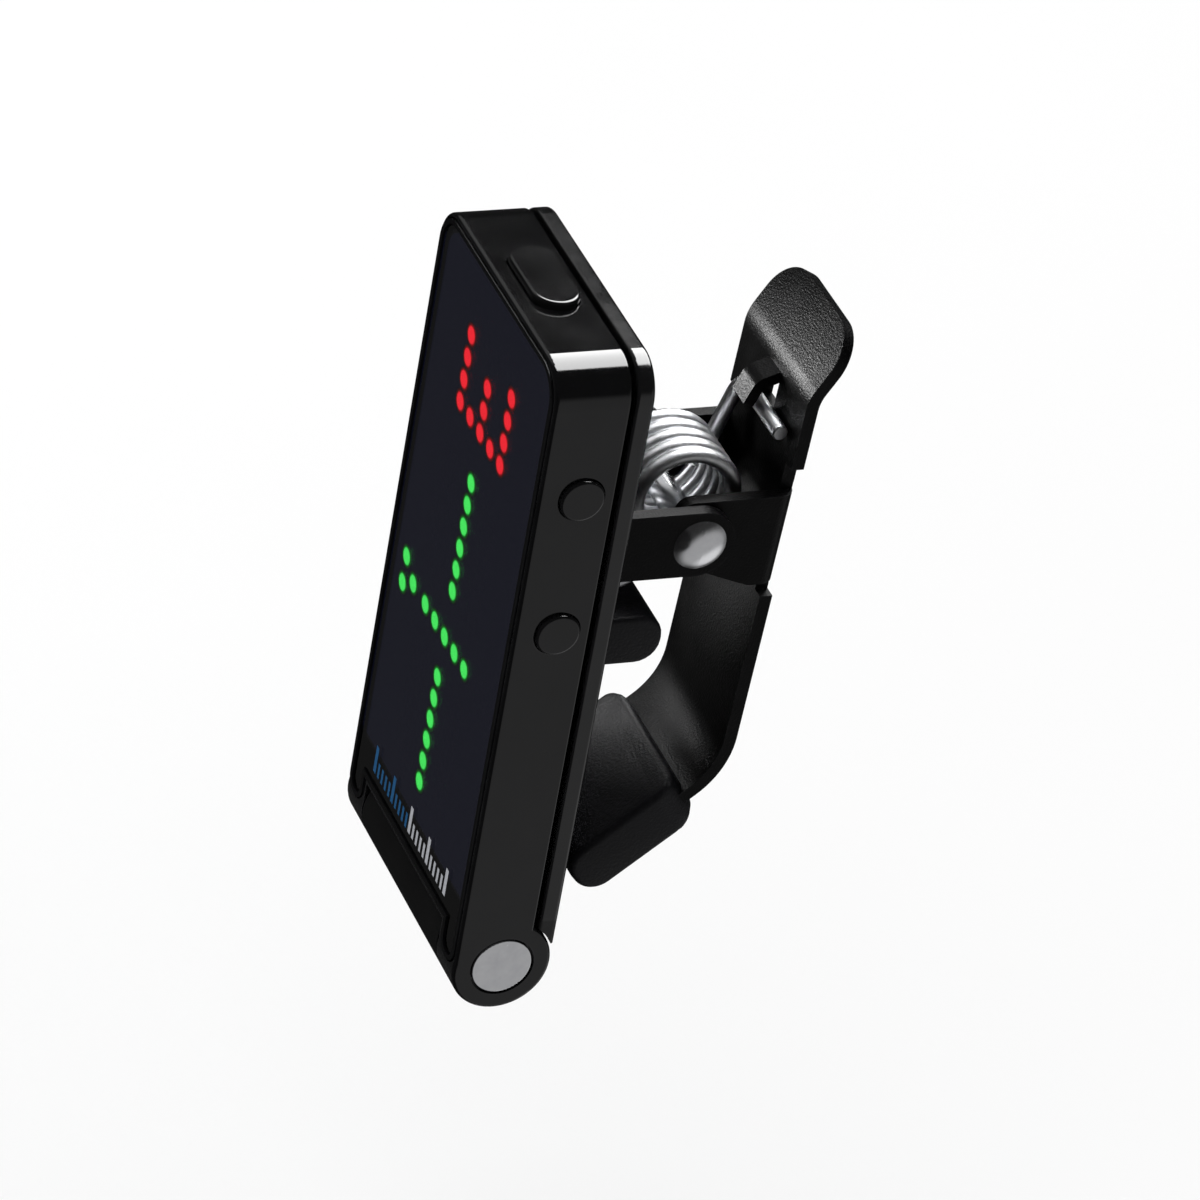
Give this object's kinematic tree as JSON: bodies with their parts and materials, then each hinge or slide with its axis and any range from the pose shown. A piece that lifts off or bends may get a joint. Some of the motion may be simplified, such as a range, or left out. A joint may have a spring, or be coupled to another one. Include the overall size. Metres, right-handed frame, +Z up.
{
  "type": "clip-on tuner",
  "caption": "Folding clip-on instrument tuner: a lit display unit hinged on a back plate that carries a sprung steel clip with rubber jaws.",
  "frame": {"origin": "centre of the fixed jaw's rubber gripping face, where the instrument's headstock is held", "axes": "+X across the display to its right edge, +Y to the rear, out of the gripping face, +Z up along the display's length, away from its hinge"},
  "size_m": [0.0244, 0.0265, 0.0564],
  "materials": {
    "housing_plastic": "satin-gloss moulded black",
    "bezel_plastic": "gloss black rim",
    "lens": "smoked acrylic, dark navy",
    "mask_black": "matt black",
    "light_red": "lit red",
    "light_green": "lit green",
    "light_off": "unlit diffuser",
    "board_green": "solder-masked laminate",
    "chip_black": "moulded epoxy",
    "zinc_steel": "zinc plated",
    "switch_body": "moulded black",
    "brass": "bare brass",
    "cell_steel": "nickel-plated can",
    "contact_metal": "gold-flashed leaf",
    "key_plastic": "soft-touch black",
    "polished_steel": "polished, lightly brushed",
    "nylon": "natural nylon",
    "plate_paint": "satin black paint",
    "powder_coat": "fine-texture black powder coat",
    "jaw_rubber": "matt black rubber",
    "spring_zinc": "bright zinc-plated wire"
  },
  "bodies": {
    "clip_frame": {"back_plate": "plate_paint", "friction_sleeves": "nylon", "hinge_washers": "nylon", "bracket_rivets": "zinc_steel", "clip_bracket": "powder_coat", "fixed_jaw_pad": "jaw_rubber", "pivot_pin": "polished_steel", "torsion_spring": "spring_zinc"},
    "display_unit": {"display_housing": "housing_plastic", "front_bezel": "bezel_plastic", "display_lens": "lens", "light_mask": "mask_black", "light_dots_red": "light_red", "light_dots_green": "light_green", "light_dots_unlit": "light_off", "circuit_board": "board_green", "circuit_chips": "chip_black", "circuit_board_screws": "zinc_steel", "side_switches": "switch_body", "power_switch": "switch_body", "piezo_disc": "brass", "coin_cell": "cell_steel", "negative_contact": "contact_metal", "positive_contact": "contact_metal", "hinge_pin": "zinc_steel", "hinge_caps": "polished_steel"},
    "lever": {"clip_lever": "powder_coat", "lever_jaw_boot": "jaw_rubber"},
    "power_key": {"power_button": "key_plastic"},
    "upper_side_key": {"upper_side_button": "key_plastic"},
    "lower_side_key": {"lower_side_button": "key_plastic"},
    "battery_cap": {"battery_cover": "housing_plastic"}
  },
  "joints": [
    {"name": "display_tilt", "type": "hinge", "parent": "clip_frame", "child": "display_unit", "pos_m": [0, -0.00625, -0.012], "axis": [1, 0, 0], "range_deg": [0, 130]},
    {"name": "clip_lever", "type": "hinge", "parent": "clip_frame", "child": "lever", "pos_m": [0, 0.00555, 0.0213], "axis": [1, 0, 0], "range_deg": [0, 38], "stiffness_Nm_per_rad": 0.3, "springref_deg": -28.65, "deforming": ["torsion_spring"]},
    {"name": "power_key_press", "type": "slide", "parent": "display_unit", "child": "power_key", "axis": [0, 0, -1], "range_m": [0, 0.00035], "stiffness_N_per_m": 900, "springref_m": -0.0006},
    {"name": "upper_side_key_press", "type": "slide", "parent": "display_unit", "child": "upper_side_key", "axis": [-1, 0, 0], "range_m": [0, 0.00035], "stiffness_N_per_m": 900, "springref_m": -0.0006},
    {"name": "lower_side_key_press", "type": "slide", "parent": "display_unit", "child": "lower_side_key", "axis": [-1, 0, 0], "range_m": [0, 0.00035], "stiffness_N_per_m": 900, "springref_m": -0.0006},
    {"name": "battery_cap_turn", "type": "hinge", "parent": "display_unit", "child": "battery_cap", "pos_m": [0, -0.00455, 0.0052], "axis": [0, 1, 0], "range_deg": [-35, 0]}
  ]
}
